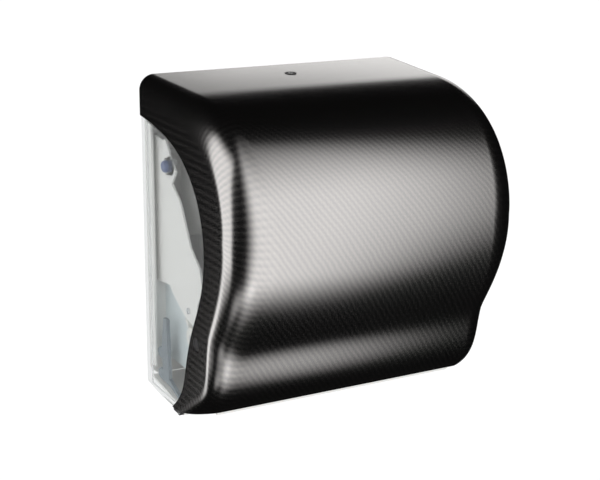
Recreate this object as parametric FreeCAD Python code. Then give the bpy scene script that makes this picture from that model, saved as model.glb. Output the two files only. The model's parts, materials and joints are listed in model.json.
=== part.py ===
import FreeCAD, Part
import math
import os

# A wall-mounted roll towel dispenser with a push lever, in millimetres.
# X runs across the wall, -Y points into the room, Z is up.
# While a piece is drawn, z = 0 is the lower back corner of the side windows.
# On export everything moves down by MOUNT_HEIGHT, so that the origin is the
# centre of the four wall screws on the wall face.

V = FreeCAD.Vector
X_AXIS = V(1, 0, 0)
Z_AXIS = V(0, 0, 1)

# Driving sizes of the whole dispenser
WIDTH = 300.0
TOP_HEIGHT = 317.6
TOP_SLOPE = 0.054
WALL = 3.0
MOUNT_HEIGHT = 160.0
RUN = 0.06

HALF = WIDTH / 2
WINDOW_OUT = HALF - WALL - 0.5
WINDOW_THICK = 2.4
WINDOW_IN = WINDOW_OUT - WINDOW_THICK
PANEL_OUT = HALF - 1.0
PANEL_IN = PANEL_OUT - 3.0

# Wall plate
PLATE_THICK = 3.0
PLATE_HALF = WINDOW_IN - 0.4
PLATE_LOW, PLATE_HIGH = 4.0, 309.0
RETURN_DEPTH = 14.0
SCREW_X, SCREW_Z = 100.0, 85.0
SCREW_HOLE_R = 3.2

# Roll of towel: an eight inch web on a cardboard core
ROLL_Y, ROLL_Z = -112.0, 196.0
ROLL_R = 95.0
ROLL_HALF = 101.5
CORE_R, CORE_BORE_R = 21.0, 19.0
STUD_R = 6.0

# Cover hinge, lever pivot and the two feed rollers, as (y, z)
HINGE_Y, HINGE_Z = -70.5, -13.0
HINGE_PIN_R = 2.5
LEVER_Y, LEVER_Z = -129.6, 80.0
LEVER_PIN_R = 4.0
GEAR_MODULE = 1.5
SECTOR_TEETH, PINION_TEETH = 56, 14
PINION_ANGLE = -16.0
DRIVE_R, PINCH_R = 16.0, 9.0
NIP_GAP = 0.35
SHAFT_R = 4.0
PAWL_Y, PAWL_Z = -66.0, 84.0
PAWL_PIN_R = 2.5
PIN_ROOM = 0.02

GEAR_CENTRES = GEAR_MODULE * (SECTOR_TEETH + PINION_TEETH) / 2
DRIVE_Y = LEVER_Y + GEAR_CENTRES * math.cos(math.radians(PINION_ANGLE))
DRIVE_Z = LEVER_Z + GEAR_CENTRES * math.sin(math.radians(PINION_ANGLE))
NIP_ANGLE = 166.0
NIP_CENTRES = DRIVE_R + PINCH_R + NIP_GAP
PINCH_Y = DRIVE_Y + NIP_CENTRES * math.cos(math.radians(NIP_ANGLE))
PINCH_Z = DRIVE_Z + NIP_CENTRES * math.sin(math.radians(NIP_ANGLE))

# Planes across the width that the inner pieces stand on
FRAME_IN, FRAME_OUT = 124.0, 127.0
GEAR_IN, GEAR_OUT = 128.2, 131.0
LEVER_IN, LEVER_OUT = 131.2, 134.4
ARM_IN, ARM_OUT = 106.0, 109.0
CHEEK_IN, CHEEK_OUT = 134.0, 136.0

# Lock on the top of the cover
LOCK_X, LOCK_Y = -4.0, -41.6
LOCK_R = 4.5


def box(x0, x1, y0, y1, z0, z1):
    """Box between two corners given in any order."""
    low = V(min(x0, x1), min(y0, y1), min(z0, z1))
    return Part.makeBox(abs(x1 - x0), abs(y1 - y0), abs(z1 - z0), low)


def rod(x0, x1, y, z, r):
    """Cylinder along X."""
    return Part.makeCylinder(r, abs(x1 - x0), V(min(x0, x1), y, z), X_AXIS)


def tube(x0, x1, y, z, r_out, r_in):
    """Hollow cylinder along X."""
    return rod(x0, x1, y, z, r_out).cut(rod(x0, x1, y, z, r_in))


def slab(points, x0, x1):
    """Straight-sided outline of (y, z) points, extruded from x0 to x1."""
    ring = [V(x0, y, z) for y, z in points]
    wire = Part.makePolygon(ring + ring[:1])
    return Part.Face(wire).extrude(V(x1 - x0, 0, 0))


def curve(points):
    """Smooth curve at x = 0 through (y, z) points."""
    line = Part.BSplineCurve()
    line.interpolate(Points=[V(0, y, z) for y, z in points])
    return line


def outline(parts, x0, x1):
    """Closed outline of curves and (y, z) point runs at x = 0, extruded from x0 to x1."""
    edges = []
    for part in parts:
        if isinstance(part, list):
            ring = [V(0, y, z) for y, z in part]
            edges += Part.makePolygon(ring).Edges
        else:
            edges.append(part.toShape())
    face = Part.Face(Part.Wire(Part.__sortEdges__(edges)))
    face.translate(V(x0, 0, 0))
    return face.extrude(V(x1 - x0, 0, 0))


def fused(shapes):
    """One solid from touching or overlapping solids."""
    whole = shapes[0].multiFuse(shapes[1:]) if len(shapes) > 1 else shapes[0]
    return whole.removeSplitter()


def group(shapes):
    """Separate solids that share one node."""
    return Part.makeCompound(shapes)


SHANK_SHARE = 0.42
SHANK_ROOM = 0.03


def screw(x, y, z, direction, head_r, length):
    """Pan-head screw: its head stands out along direction from the point, its shank goes in."""
    head = Part.makeCylinder(head_r, 1.8, V(x, y, z), direction)
    shank = Part.makeCylinder(head_r * SHANK_SHARE, length, V(x, y, z), direction * -1)
    slot = Part.makeBox(head_r * 3, 0.9, 1.2, V(-head_r * 1.5, -0.45, -0.6))
    slot.Placement = FreeCAD.Placement(
        V(x, y, z) + direction * 1.8, FreeCAD.Rotation(Z_AXIS, direction)
    ).multiply(slot.Placement)
    return head.cut(slot).fuse(shank)


def drilled(shape, places):
    """The shape with a close hole for the shank of each screw."""
    for x, y, z, direction, head_r, length in places:
        hole = Part.makeCylinder(head_r * SHANK_SHARE + SHANK_ROOM, length + 0.3, V(x, y, z), direction * -1)
        shape = shape.cut(hole)
    return shape


# Cover: outer side profile, from the rear of the top down to the lip and a little beyond

TOP_FRONT = (-101.0, TOP_HEIGHT - TOP_SLOPE * 101.0)
NOSE = (-232.7, 194.2)
CHIN = (-187.1, 83.0)
LIP = (-148.0, 13.7)
FOOT_END = (-131.4, 2.6)
TIP = (-68.0, -7.2)
ALONG_TOP = (-1.0, -TOP_SLOPE)
ALONG_NOSE = (0.0, -1.0)
ALONG_CHIN = (0.362, -0.932)
ALONG_LIP = (0.831, -0.556)

# Lengths of the curve handles at the two ends of each round stretch
UPPER_HANDLES = (109.0, 31.7)
LOWER_HANDLES = (52.2, 13.7)
FOOT_HANDLES = (25.2, 38.4)

# Rounding of the cover's long edges where each stretch begins and ends
EDGE_REAR, EDGE_TOP, EDGE_NOSE, EDGE_CHIN, EDGE_LIP = 15.5, 21.4, 36.7, 26.4, 17.0


def inwards(point, along, inset):
    """The point moved by inset to the inner side of a profile that runs in direction along."""
    size = math.hypot(*along)
    return (point[0] - along[1] / size * inset, point[1] + along[0] / size * inset)


def stretch(start, start_along, end, end_along, handles, inset):
    """Round stretch of the side profile, as a curve with two handles, moved inwards by inset."""
    first = inwards(start, start_along, inset)
    last = inwards(end, end_along, inset)
    shrink = math.dist(first, last) / math.dist(start, end)
    after = [first[i] + start_along[i] * handles[0] * shrink for i in (0, 1)]
    before = [last[i] - end_along[i] * handles[1] * shrink for i in (0, 1)]
    line = Part.BezierCurve()
    line.setPoles([V(0, *first), V(0, *after), V(0, *before), V(0, *last)])
    return line


def straight(start, end, along, inset):
    return Part.LineSegment(V(0, *inwards(start, along, inset)), V(0, *inwards(end, along, inset)))


def ends_of(line):
    """First and last (y, z) of a curve."""
    places = [line.value(line.FirstParameter), line.value(line.LastParameter)]
    return [(place.y, place.z) for place in places]


def rounded_block(profile, closing, half, r_first, r_last):
    """Extruded stretch of the cover whose two profile edges are rounded."""
    block = outline([profile, closing], -half, half)
    first = profile.value(profile.FirstParameter)
    middle = profile.value((profile.FirstParameter + profile.LastParameter) / 2)
    for side in (-half, half):
        for edge in block.Edges:
            centre = edge.valueAt((edge.FirstParameter + edge.LastParameter) / 2)
            if abs(centre.x - side) > 0.01 or (centre - V(side, middle.y, middle.z)).Length > 0.5:
                continue
            begins = edge.valueAt(edge.FirstParameter)
            in_order = (begins - V(side, first.y, first.z)).Length < 0.5
            radii = (r_first, r_last) if in_order else (r_last, r_first)
            block = block.makeFillet(radii[0], radii[1], [edge])
            break
    return block


def cover_solid(inset, rear, low):
    """The filled body of the cover, inset from its outside; low is the bottom of its rear."""
    half = HALF - inset
    rear_top = (rear, TOP_HEIGHT + TOP_SLOPE * rear)
    top = straight(rear_top, TOP_FRONT, ALONG_TOP, inset)
    upper = stretch(TOP_FRONT, ALONG_TOP, NOSE, ALONG_NOSE, UPPER_HANDLES, inset)
    lower = stretch(NOSE, ALONG_NOSE, CHIN, ALONG_CHIN, LOWER_HANDLES, inset)
    foot = stretch(CHIN, ALONG_CHIN, LIP, ALONG_LIP, FOOT_HANDLES, inset)
    toe = straight(LIP, FOOT_END, ALONG_LIP, inset)
    (top_start, top_end), (_, nose) = ends_of(top), ends_of(upper)
    (chin, lip), (_, toe_end) = ends_of(foot), ends_of(toe)
    level = nose[1]
    inner = (top_end[0] + TOP_SLOPE * (top_end[1] - level), level)
    rear_level = (rear, level)
    chin_rear = (rear, chin[1] - (rear - chin[0]) * ALONG_CHIN[0] / ALONG_CHIN[1])
    lip_rear = (lip[0] - ALONG_LIP[1] * 40.0, lip[1] + ALONG_LIP[0] * 40.0)
    blocks = [
        rounded_block(top, [top_end, inner, rear_level, top_start], half, EDGE_REAR - inset, EDGE_TOP - inset),
        rounded_block(upper, [nose, inner, top_end], half, EDGE_TOP - inset, EDGE_NOSE - inset),
        rounded_block(lower, [chin, chin_rear, rear_level, nose], half, EDGE_NOSE - inset, EDGE_CHIN - inset),
        rounded_block(foot, [lip, lip_rear, (rear, lip_rear[1]), chin_rear, chin],
                      half, EDGE_CHIN - inset, EDGE_LIP - inset),
        rounded_block(toe, [toe_end, (toe_end[0], low), (rear, low), (rear, lip_rear[1]), lip_rear, lip],
                      half, EDGE_LIP - inset, EDGE_LIP - inset),
    ]
    return fused(blocks)


# The lower edge is level along the front lip, then runs back to the tip beside the hinge
FLANK_EDGE = [LIP, (-131.0, 7.6), (-114.0, 1.8), (-98.0, -2.9), (-82.0, -6.3), TIP]

# The flank's rear edge, an S-curve that leaves the side window in view
CUT_EDGE = [(3.0, 278.0), (-54.0, 270.0), (-106.0, 250.0), (-137.0, 218.0), (-149.5, 170.0),
            (-140.0, 127.0), (-118.0, 85.0), (-105.0, 51.0), (-94.0, 20.0), TIP]
PLUG_R = 6.5


def below_region():
    """Everything below the cover's lower edge."""
    edge = curve(FLANK_EDGE)
    level = LIP[1]
    return outline([edge, [TIP, (12.0, TIP[1]), (12.0, -60.0), (-200.0, -60.0), (-200.0, level), LIP]],
                   -HALF - 5, HALF + 5)


def cut_region(offset, x0, x1):
    """Everything behind the flank's rear edge, whose edge is moved forwards by offset."""
    line = curve(CUT_EDGE)
    moved = []
    for y, z in CUT_EDGE:
        along = line.tangent(line.parameter(V(0, y, z)))[0]
        moved.append((y + along.z * offset, z - along.y * offset))
    edge = curve(moved)
    return outline([edge, [moved[-1], (12.0, moved[-1][1]), (12.0, moved[0][1]), moved[0]]], x0, x1)


def lip_region():
    """The space behind the straight front lip, between the two rounded edges."""
    behind = inwards(LIP, ALONG_LIP, WALL + 1.0)
    half = HALF - EDGE_LIP
    return slab([LIP, behind, (LIP[0] + 30.0, behind[1]), (LIP[0] + 30.0, -20.0), (LIP[0], -20.0)], -half, half)


def hinge_ear(side):
    """Ear of the cover: a knuckle on the hinge axis, on a bar from the flank's lower edge."""
    x_in, x_out = side * 140.0, side * (HALF - 0.5)
    knuckle = rod(side * 140.0, side * 144.0, HINGE_Y, HINGE_Z, 3.8)
    bar = box(x_in, x_out, -81.0, -70.0, -9.8, -8.2)
    web = box(x_in, side * 144.0, -73.0, -69.0, HINGE_Z, -8.2)
    lip = box(side * (HALF - WALL), side * (HALF - 0.5), -81.0, -72.0, -9.8, -5.6)
    bore = rod(side * 139.0, side * 145.0, HINGE_Y, HINGE_Z, HINGE_PIN_R)
    return fused([knuckle, bar, web, lip]).cut(bore)


def front_cover():
    shell = cover_solid(0.0, 0.0, -30.0).cut(cover_solid(WALL, 6.0, -40.0))
    shell = shell.cut(below_region()).cut(lip_region())
    shell = shell.cut(cut_region(0.0, -HALF - 5, HALF + 5))
    shell = shell.cut(Part.makeCylinder(LOCK_R + 1.5, 20, V(LOCK_X, LOCK_Y, TOP_HEIGHT - 15)))
    for side in (-1, 1):
        shell = shell.cut(rod(side * (HALF - 1.4), side * (HALF + 3), LEVER_Y, LEVER_Z, PLUG_R))
    return fused([shell, hinge_ear(-1), hinge_ear(1)])


def cover_pieces():
    top_z = TOP_HEIGHT + TOP_SLOPE * LOCK_Y
    place = V(LOCK_X, LOCK_Y, top_z - 4.5)
    ring = Part.makeCylinder(LOCK_R + 1.4, 5.1, place)
    flange = Part.makeCylinder(LOCK_R + 2.6, 1.0, V(LOCK_X, LOCK_Y, top_z - 4.9))
    socket = Part.makeCylinder(LOCK_R + 0.08, 20, place - V(0, 0, 5))
    barrel = Part.makeCylinder(LOCK_R, 12.0, V(LOCK_X, LOCK_Y, top_z - 12.0))
    keyway = Part.makeBox(1.2, 5.0, 6.0, V(LOCK_X - 0.6, LOCK_Y - 2.5, top_z - 5.0))
    cam = fused([
        Part.makeCylinder(6.0, 2.0, V(LOCK_X, LOCK_Y, top_z - 14.0)),
        box(LOCK_X - 4.0, LOCK_X + 4.0, LOCK_Y - 16.0, LOCK_Y, top_z - 14.0, top_z - 12.0),
    ])
    pieces = {
        "front_cover": front_cover(),
        "lock_escutcheon": fused([ring, flange]).cut(socket),
        "lock_barrel": barrel.cut(keyway),
        "lock_cam": cam,
    }
    for name, side in (("left", -1), ("right", 1)):
        disc = rod(side * (HALF - 1.4), side * (HALF - 0.2), LEVER_Y, LEVER_Z, PLUG_R - 0.1)
        ring_cut = tube(side * (HALF - 0.8), side * HALF, LEVER_Y, LEVER_Z, PLUG_R - 1.2, PLUG_R - 2.4)
        pieces["lever_cap_" + name] = disc.cut(ring_cut)
        pieces["hinge_pin_" + name] = rod(side * 133.5, side * 144.0, HINGE_Y, HINGE_Z, HINGE_PIN_R)
    return pieces


# Housing: wall plate, side windows, cheeks, roll arms, bottom and chute

def back_plate():
    plate = box(-PLATE_HALF, PLATE_HALF, -PLATE_THICK, 0, PLATE_LOW, PLATE_HIGH)
    upright = [e for e in plate.Edges if abs(e.valueAt(e.FirstParameter).z - e.valueAt(e.LastParameter).z) < 0.1]
    corners = [e for e in upright if abs(e.Length - PLATE_THICK) < 0.01]
    plate = plate.makeFillet(10.0, corners)
    returns = [
        box(side * PLATE_HALF, side * (PLATE_HALF - 2.2), -RETURN_DEPTH, -1.0, PLATE_LOW + 12, PLATE_HIGH - 36)
        for side in (-1, 1)
    ]
    ribs = [
        box(x - 1.0, x + 1.0, -7.0, -1.0, 130.0, 290.0) for x in (-62.0, 0.0, 62.0)
    ]
    whole = fused([plate] + returns + ribs)
    for x in (-SCREW_X, SCREW_X):
        for z in (MOUNT_HEIGHT - SCREW_Z, MOUNT_HEIGHT + SCREW_Z):
            whole = whole.cut(Part.makeCylinder(SCREW_HOLE_R, 30, V(x, -15, z), V(0, 1, 0)))
    return drilled(whole, housing_screw_places())


def side_window(side):
    """Frosted side wall: its panel ends behind the flank's rear edge, its stepped rim tucks under the flank."""
    panel = cut_region(-0.8, side * PANEL_OUT, side * PANEL_IN)
    rim = cut_region(6.0, side * WINDOW_OUT, side * WINDOW_IN).cut(cut_region(-4.0, side * HALF, side * 140.0))
    rear = box(side * WINDOW_OUT, side * WINDOW_IN, -8.0, 12.0, -5.0, 282.0)
    whole = fused([panel, rim, rear])
    field = slab([(-1.0, -3.0), (-48.0, -7.2), (-66.0, -7.3), (-78.0, -5.2), (-120.0, 6.0), (-160.0, 60.0),
                  (-160.0, 240.0), (-60.0, 276.0), (-1.0, 282.0)],
                 side * HALF, side * (WINDOW_IN - 1))
    return whole.common(field)


CHEEK_FRONT = [(-4.0, 258.0), (-24.0, 256.0), (-32.0, 258.0), (-39.0, 249.0), (-43.0, 241.0),
               (-57.0, 230.0), (-46.0, 216.0), (-66.0, 202.0), (-78.0, 181.0), (-89.0, 162.0),
               (-110.0, 146.0), (-116.0, 127.0), (-104.0, 108.0), (-101.0, 82.0)]
CHEEK_LOW = [(-74.0, 88.0), (-48.0, 101.0), (-35.0, 110.0), (-4.0, 106.0)]
CAP_Y, CAP_Z = -43.0, 233.5
CAP_R = 6.2
CHEEK_BOSS = (-84.0, 97.0)


def cheek(side):
    """Inner side plate with the pivot collar, standing on a foot against the wall plate."""
    plate = slab(CHEEK_FRONT + CHEEK_LOW, side * CHEEK_IN, side * CHEEK_OUT)
    foot = box(side * (FRAME_OUT + 0.3), side * CHEEK_OUT, -5.5, -PLATE_THICK, 106.0, 258.0)
    boss = rod(side * FRAME_OUT, side * CHEEK_IN, *CHEEK_BOSS, 4.0)
    return drilled(fused([plate, foot, boss]), housing_screw_places())


def pivot_cap(side):
    """Bullet-shaped cap with a domed end."""
    shank = rod(side * CHEEK_OUT, side * (CHEEK_OUT + 4.0), CAP_Y, CAP_Z, CAP_R)
    dome = Part.makeSphere(CAP_R, V(side * (CHEEK_OUT + 4.0), CAP_Y, CAP_Z))
    limit = box(side * CHEEK_OUT, side * (WINDOW_IN - 0.4), CAP_Y - 20, CAP_Y + 20, CAP_Z - 20, CAP_Z + 20)
    return fused([shank, dome]).common(limit)


def pivot_collar(side):
    """Flared ring round the cap."""
    cone = Part.makeCone(9.4, 8.2, 4.0, V(side * CHEEK_OUT, CAP_Y, CAP_Z), V(side, 0, 0))
    return cone.cut(rod(side * (CHEEK_OUT - 1), side * (CHEEK_OUT + 5), CAP_Y, CAP_Z, CAP_R + 0.2))


def roll_arm(side, bore_r):
    """Arm from the wall plate to the middle of the roll, with a foot against the plate."""
    rear = -PLATE_THICK
    blade = slab([(rear, 150.0), (rear, 242.0), (ROLL_Y + 6, ROLL_Z + 19), (ROLL_Y - 14, ROLL_Z + 14),
                  (ROLL_Y - 20, ROLL_Z), (ROLL_Y - 14, ROLL_Z - 14), (ROLL_Y + 6, ROLL_Z - 19)],
                 side * ARM_IN, side * ARM_OUT)
    foot = box(side * ARM_IN, side * 123.0, rear - 3.0, rear, 150.0, 242.0)
    hole = rod(side * 90, side * 140, ROLL_Y, ROLL_Z, bore_r)
    return drilled(fused([blade, foot]).cut(hole), housing_screw_places())


def roll_arm_left():
    stud = rod(-98.0, -ARM_OUT, ROLL_Y, ROLL_Z, STUD_R)
    return fused([roll_arm(-1, STUD_R - 2), stud])


CUP_OUT = 127.0


def roll_arm_right():
    """The sprung side: a cup on the arm holds the plunger's spring."""
    cup = rod(ARM_OUT, CUP_OUT, ROLL_Y, ROLL_Z, 11.0)
    cavity = rod(ARM_IN - 1, CUP_OUT - 2.5, ROLL_Y, ROLL_Z, 9.0)
    arm = fused([roll_arm(1, 8.0), cup])
    return arm.cut(cavity).cut(rod(90, 140, ROLL_Y, ROLL_Z, STUD_R + RUN))


def plunger():
    stem = rod(98.0, CUP_OUT + 6.0, ROLL_Y, ROLL_Z, STUD_R)
    collar = rod(ARM_OUT + 0.2, ARM_OUT + 1.7, ROLL_Y, ROLL_Z, 8.5)
    return fused([stem, collar])


def plunger_knob():
    knob = rod(CUP_OUT + 0.3, CUP_OUT + 5.3, ROLL_Y, ROLL_Z, 10.0)
    knob = knob.makeFillet(1.2, [e for e in knob.Edges if e.Closed])
    return knob.cut(rod(CUP_OUT, CUP_OUT + 7.0, ROLL_Y, ROLL_Z, STUD_R))


def roll_hub(side):
    """Hub with a flange against the roll and a plug in the core."""
    flange = rod(side * (ROLL_HALF + 0.5), side * (ROLL_HALF + 2.5), ROLL_Y, ROLL_Z, 30.0)
    plug = rod(side * (ROLL_HALF - 16.0), side * (ROLL_HALF + 0.5), ROLL_Y, ROLL_Z, CORE_BORE_R - 0.1)
    bore = rod(side * 97.0, side * 110.0, ROLL_Y, ROLL_Z, STUD_R + RUN)
    hollow = rod(side * (ROLL_HALF - 17.0), side * 95.0, ROLL_Y, ROLL_Z, CORE_BORE_R - 2.6)
    return fused([flange, plug]).cut(bore).cut(hollow)


def bottom_cover():
    """Floor of the housing, sloping down to the front, with a hinge lug at each end."""
    floor = slab([(-PLATE_THICK, 3.6), (-62.0, -3.0), (-62.0, -5.4), (-PLATE_THICK, 1.2)],
                 -WINDOW_IN + 0.6, WINDOW_IN - 0.6)
    lip = slab([(-58.0, -3.4), (-58.0, 12.0), (-60.4, 12.0), (-60.4, -3.4)], -120.0, 120.0)
    pieces = [floor, lip]
    for side in (-1, 1):
        lug = rod(side * 134.0, side * 139.6, HINGE_Y, HINGE_Z, 4.4)
        web = slab([(-56.0, -4.6), (-60.0, -3.4), (-74.0, -10.0), (-71.0, -17.2), (-66.0, -14.0)],
                   side * 134.0, side * 139.6)
        pieces += [lug, web]
    whole = fused(pieces)
    for side in (-1, 1):
        whole = whole.cut(rod(side * 133.0, side * 140.0, HINGE_Y, HINGE_Z, HINGE_PIN_R + RUN))
    return whole


CHUTE = [(-56.0, 110.0), (-59.0, 72.0), (-62.0, 46.0), (-73.0, 24.0), (-80.0, 4.0)]


def paper_chute():
    """Curved guide behind the paper, from under the roll down to the exit."""
    face = curve(CHUTE)
    back = curve([(y + 2.0, z - 1.2) for y, z in CHUTE])
    (fy, fz), (ly, lz) = CHUTE[0], CHUTE[-1]
    return outline([face, [(ly, lz), (ly + 2.0, lz - 1.2)], back, [(fy + 2.0, fz - 1.2), (fy, fz)]],
                   -FRAME_IN + 0.4, FRAME_IN - 0.4)


def chute_clip(side):
    """Dark snap clip with two hooks, which holds the floor to the wall plate."""
    x0, x1 = side * 137.6, side * 141.2
    stem = slab([(-26.0, 6.0), (-24.0, 44.0), (-30.0, 74.0), (-38.0, 74.0), (-40.0, 40.0), (-42.0, 4.0)], x0, x1)
    hooks = [slab([(-28.0, z), (-15.0, z + 2), (-13.0, z + 8), (-20.0, z + 13), (-28.0, z + 11)], x0, x1)
             for z in (4.0, 27.0)]
    tail = slab([(-38.0, 6.0), (-40.0, 12.0), (-66.0, 2.0), (-64.0, -1.5)], x0, x1)
    return fused([stem, tail] + hooks)


# Feed mechanism

FRAME_OUTLINE = [(-PLATE_THICK, 24.0), (-PLATE_THICK, 124.0), (-60.0, 124.0), (-106.0, 108.0),
                 (-136.0, 92.0), (-141.0, 80.0), (-136.0, 70.0), (-112.0, 44.0), (-60.0, 24.0)]


def mechanism_frame(side):
    """Side plate that carries the rollers and the lever's pivot."""
    plate = slab(FRAME_OUTLINE, side * FRAME_IN, side * FRAME_OUT)
    foot = box(side * 112.0, side * FRAME_IN, -5.5, -PLATE_THICK, 24.0, 124.0)
    whole = fused([plate, foot])
    holes = [(DRIVE_Y, DRIVE_Z, SHAFT_R + 2.0), (PINCH_Y, PINCH_Z, SHAFT_R + 1.0),
             (LEVER_Y, LEVER_Z, LEVER_PIN_R + PIN_ROOM)]
    for y, z, r in holes:
        whole = whole.cut(rod(side * 100, side * 150, y, z, r))
    if side < 0:
        whole = whole.cut(rod(-100, -150, PAWL_Y, PAWL_Z, PAWL_PIN_R + PIN_ROOM))
    return drilled(whole, housing_screw_places())


def bushes():
    shapes = []
    for side in (-1, 1):
        x0, x1 = side * (FRAME_IN - 1.0), side * (FRAME_OUT + 0.6)
        shapes.append(tube(x0, x1, DRIVE_Y, DRIVE_Z, SHAFT_R + 2.0, SHAFT_R + RUN))
        shapes.append(tube(x0, x1, PINCH_Y, PINCH_Z, SHAFT_R + 1.0, SHAFT_R - 1.0 + RUN))
    return group(shapes)


def lever_pins():
    return group([rod(side * (FRAME_IN - 2), side * (LEVER_OUT + 1.0), LEVER_Y, LEVER_Z, LEVER_PIN_R)
                  for side in (-1, 1)])


SLEEVE_XS = (-84.0, -42.0, 0.0, 42.0, 84.0)


def drive_pieces():
    at = (DRIVE_Y, DRIVE_Z)
    core = tube(-103.0, 103.0, *at, DRIVE_R - 3.0, SHAFT_R)
    grooves = [tube(x - 12.0, x + 12.0, *at, DRIVE_R, DRIVE_R - 5.0) for x in SLEEVE_XS]
    for cut in grooves:
        core = core.cut(cut)
    sleeves = [tube(x - 12.0, x + 12.0, *at, DRIVE_R, DRIVE_R - 5.0) for x in SLEEVE_XS]
    return {
        "drive_shaft": rod(-133.0, 142.5, *at, SHAFT_R),
        "drive_core": core,
        "drive_sleeves": group(sleeves),
        "ratchet_wheel": ratchet_wheel(),
        "feed_knob": feed_knob(),
    }


def ratchet_wheel():
    """Saw-toothed wheel with sixteen teeth that lean against the pawl."""
    teeth, r_out, r_in = 16, 13.0, 10.6
    points = []
    for i in range(teeth):
        start = 2 * math.pi * i / teeth
        step = 2 * math.pi / teeth
        for r, part in ((r_out, 0.02), (r_in, 0.12), (r_in, 0.2)):
            angle = start + step * part
            points.append((DRIVE_Y + r * math.cos(angle), DRIVE_Z + r * math.sin(angle)))
    wheel = slab(points, -GEAR_IN, -GEAR_OUT - 1.0)
    return wheel.cut(rod(-120, -140, DRIVE_Y, DRIVE_Z, SHAFT_R))


def feed_knob():
    """Thumb wheel with finger grooves, for threading a new roll."""
    knob = rod(137.6, 142.5, DRIVE_Y, DRIVE_Z, 12.0)
    for i in range(12):
        angle = 2 * math.pi * i / 12
        knob = knob.cut(rod(137.0, 143.0, DRIVE_Y + 12.8 * math.cos(angle), DRIVE_Z + 12.8 * math.sin(angle), 2.0))
    return knob.cut(rod(137.0, 143.0, DRIVE_Y, DRIVE_Z, SHAFT_R))


def pinch_pieces():
    at = (PINCH_Y, PINCH_Z)
    rolls = [tube(x - 14.0, x + 14.0, *at, PINCH_R, SHAFT_R - 1.0) for x in SLEEVE_XS]
    return {
        "pinch_shaft": rod(-128.0, 128.0, *at, SHAFT_R - 1.0),
        "pinch_rollers": group(rolls),
    }


def tooth_points(teeth, centre, middle, count):
    """Involute teeth round (y, z) centre: count teeth, whose first is centred on the angle middle."""
    pitch_r = GEAR_MODULE * teeth / 2
    base_r = pitch_r * math.cos(math.radians(20))
    tip_r, root_r = pitch_r + 0.85 * GEAR_MODULE, pitch_r - 1.2 * GEAR_MODULE
    backlash = 0.16

    def spread(r):
        """Angle of the involute at radius r from where it starts on the base circle."""
        a = math.acos(min(1.0, base_r / r))
        return math.tan(a) - a

    half = math.pi / (2 * teeth) - backlash / (2 * pitch_r) + spread(pitch_r)
    start_r = max(base_r, root_r)
    points = []
    for i in range(count):
        mid = middle + 2 * math.pi * i / teeth
        flank = [(start_r + (tip_r - start_r) * k / 4) for k in range(5)]
        rising = [(r, mid - half + spread(r)) for r in flank]
        falling = [(r, mid + half - spread(r)) for r in reversed(flank)]
        run = [(root_r, mid - half)] + rising + falling + [(root_r, mid + half)]
        points += [(centre[0] + r * math.cos(a), centre[1] + r * math.sin(a)) for r, a in run]
    return points


SECTOR_COUNT = 8


def sector_gear():
    """Toothed sector on the right lever arm; the gap between two teeth faces the pinion at rest."""
    facing = math.radians(PINION_ANGLE)
    pitch = 2 * math.pi / SECTOR_TEETH
    first = facing - pitch * (SECTOR_COUNT - 2) + pitch / 2
    teeth = tooth_points(SECTOR_TEETH, (LEVER_Y, LEVER_Z), first, SECTOR_COUNT)
    tail = [(LEVER_Y + 5.0, LEVER_Z + 10.0), (LEVER_Y - 6.0, LEVER_Z + 6.0), (LEVER_Y - 5.0, LEVER_Z - 9.0)]
    blade = slab(teeth + tail, GEAR_IN, GEAR_OUT)
    return blade.cut(rod(120, 140, LEVER_Y, LEVER_Z, LEVER_PIN_R + 0.3))


def clutch_pinion():
    """Pinion on the drive shaft's one-way clutch, with a tooth facing the lever's pivot at rest."""
    facing = math.radians(PINION_ANGLE + 180)
    points = tooth_points(PINION_TEETH, (DRIVE_Y, DRIVE_Z), facing, PINION_TEETH)
    hub = rod(GEAR_OUT, GEAR_OUT + 3.0, DRIVE_Y, DRIVE_Z, 7.6)
    return fused([slab(points, GEAR_IN, GEAR_OUT), hub]).cut(rod(120, 140, DRIVE_Y, DRIVE_Z, SHAFT_R + RUN))


PADDLE = [(-149.5, 62.0), (-154.5, 40.0), (-147.5, 22.0), (-137.0, 6.5)]
PADDLE_THICK = 2.6
PADDLE_HALF = 132.6


def lever_paddle():
    """Curved push bar across the width, tucked behind the cover's lower front."""
    behind = [(y + PADDLE_THICK, z + 0.6) for y, z in PADDLE]
    ends = [[PADDLE[-1], behind[-1]], [behind[0], PADDLE[0]]]
    return outline([curve(PADDLE), ends[0], curve(behind), ends[1]], -PADDLE_HALF, PADDLE_HALF)


def lever_arm(side):
    """Arm from the pivot down to the paddle."""
    x0, x1 = side * LEVER_IN, side * LEVER_OUT
    blade = slab([(LEVER_Y + 8.0, LEVER_Z + 5.0), (LEVER_Y - 8.0, LEVER_Z + 6.0), (-146.8, 60.0),
                  (-151.6, 42.0), (-145.0, 24.0), (-138.0, 24.0), (LEVER_Y + 4.0, 60.0)], x0, x1)
    eye = rod(x0, x1, LEVER_Y, LEVER_Z, 10.0)
    return fused([blade, eye]).cut(rod(side * 120, side * 140, LEVER_Y, LEVER_Z, LEVER_PIN_R + RUN))



def pawl():
    """Sprung finger that stops the drive roller turning back."""
    reach = math.hypot(DRIVE_Y - PAWL_Y, DRIVE_Z - PAWL_Z) - 13.5
    angle = math.atan2(DRIVE_Z - PAWL_Z, DRIVE_Y - PAWL_Y)
    finger = slab([(0.0, 3.0), (reach, 1.0), (reach, -1.4), (0.0, -3.0)], -GEAR_IN, -GEAR_OUT - 1.0)
    finger.rotate(V(0, 0, 0), X_AXIS, math.degrees(angle))
    finger.translate(V(0, PAWL_Y, PAWL_Z))
    eye = rod(-GEAR_IN - 0.2, -GEAR_OUT, PAWL_Y, PAWL_Z, 5.0)
    return fused([finger, eye]).cut(rod(-120, -140, PAWL_Y, PAWL_Z, PAWL_PIN_R + RUN))


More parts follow.
